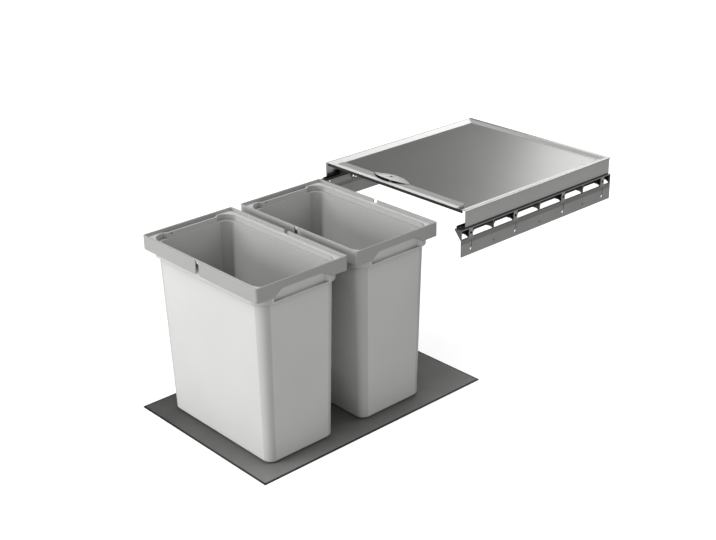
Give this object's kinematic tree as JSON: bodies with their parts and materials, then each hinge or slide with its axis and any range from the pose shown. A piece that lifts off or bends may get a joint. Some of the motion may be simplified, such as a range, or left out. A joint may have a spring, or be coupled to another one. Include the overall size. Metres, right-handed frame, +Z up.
{
  "type": "pull-out waste bin set",
  "caption": "Pull-out waste bin set for a kitchen cabinet: lift-out bins with swing-up bails on a mat, and a sheet lid that slides over them on windowed wall brackets.",
  "frame": {"origin": "middle of the mat's front edge, on the mat's underside; the brackets' place is in the same frame, so the origin is the middle of the pulled-out drawer floor's front edge", "axes": "+X across the cabinet to the right as seen from the front, +Y into the cabinet, +Z up"},
  "size_m": [0.412, 0.9497, 0.3967],
  "materials": {
    "mat_rubber": "matte anti-slip rubber",
    "tub_plastic": "satin moulded polypropylene, light grey",
    "bail_plastic": "satin moulded polypropylene, mid grey",
    "lid_metal": "satin sheet metal, soft gradient",
    "grip_plastic": "satin moulded plastic, light grey",
    "black_trim": "matte black edge profile",
    "small_steel": "plain steel fasteners",
    "glide_plastic": "matte black acetal",
    "bracket_metal": "zinc-coated sheet steel, satin"
  },
  "bodies": {
    "cabinet_fittings": {"left_bracket": "bracket_metal", "right_bracket": "bracket_metal", "left_glide": "glide_plastic", "right_glide": "glide_plastic", "left_glide_rivets": "small_steel", "right_glide_rivets": "small_steel"},
    "pull_out_floor": {"anti_slip_mat": "mat_rubber"},
    "front_bin": {"front_bin_tub": "tub_plastic"},
    "rear_bin": {"rear_bin_tub": "tub_plastic"},
    "front_left_bail": {"front_bin_left_bail": "bail_plastic"},
    "front_right_bail": {"front_bin_right_bail": "bail_plastic"},
    "rear_left_bail": {"rear_bin_left_bail": "bail_plastic"},
    "rear_right_bail": {"rear_bin_right_bail": "bail_plastic"},
    "lid": {"lid_tray": "lid_metal", "lid_edge_strip": "black_trim", "lid_grip": "grip_plastic", "lid_hood": "grip_plastic", "grip_screw": "small_steel", "grip_nut": "small_steel", "left_lid_runner": "glide_plastic", "right_lid_runner": "glide_plastic", "runner_studs": "small_steel"}
  },
  "joints": [
    {"name": "pull_out", "type": "slide", "parent": "cabinet_fittings", "child": "pull_out_floor", "axis": [0, -1, 0], "range_m": [-0.485, 0]},
    {"name": "front_bin_lift", "type": "slide", "parent": "pull_out_floor", "child": "front_bin", "axis": [0, 0, 1], "range_m": [0, 0.4]},
    {"name": "rear_bin_lift", "type": "slide", "parent": "pull_out_floor", "child": "rear_bin", "axis": [0, 0, 1], "range_m": [0, 0.4]},
    {"name": "front_left_bail_hinge", "type": "hinge", "parent": "front_bin", "child": "front_left_bail", "pos_m": [-0.0186, 0.124, 0.357], "axis": [0, 1, 0], "range_deg": [0, 90]},
    {"name": "front_right_bail_hinge", "type": "hinge", "parent": "front_bin", "child": "front_right_bail", "pos_m": [0.0186, 0.124, 0.357], "axis": [0, -1, 0], "range_deg": [0, 90]},
    {"name": "rear_left_bail_hinge", "type": "hinge", "parent": "rear_bin", "child": "rear_left_bail", "pos_m": [-0.0186, 0.3545, 0.357], "axis": [0, 1, 0], "range_deg": [0, 90]},
    {"name": "rear_right_bail_hinge", "type": "hinge", "parent": "rear_bin", "child": "rear_right_bail", "pos_m": [0.0186, 0.3545, 0.357], "axis": [0, -1, 0], "range_deg": [0, 90]},
    {"name": "lid_slide", "type": "slide", "parent": "cabinet_fittings", "child": "lid", "axis": [0, -1, 0], "range_m": [0, 0.18]}
  ]
}
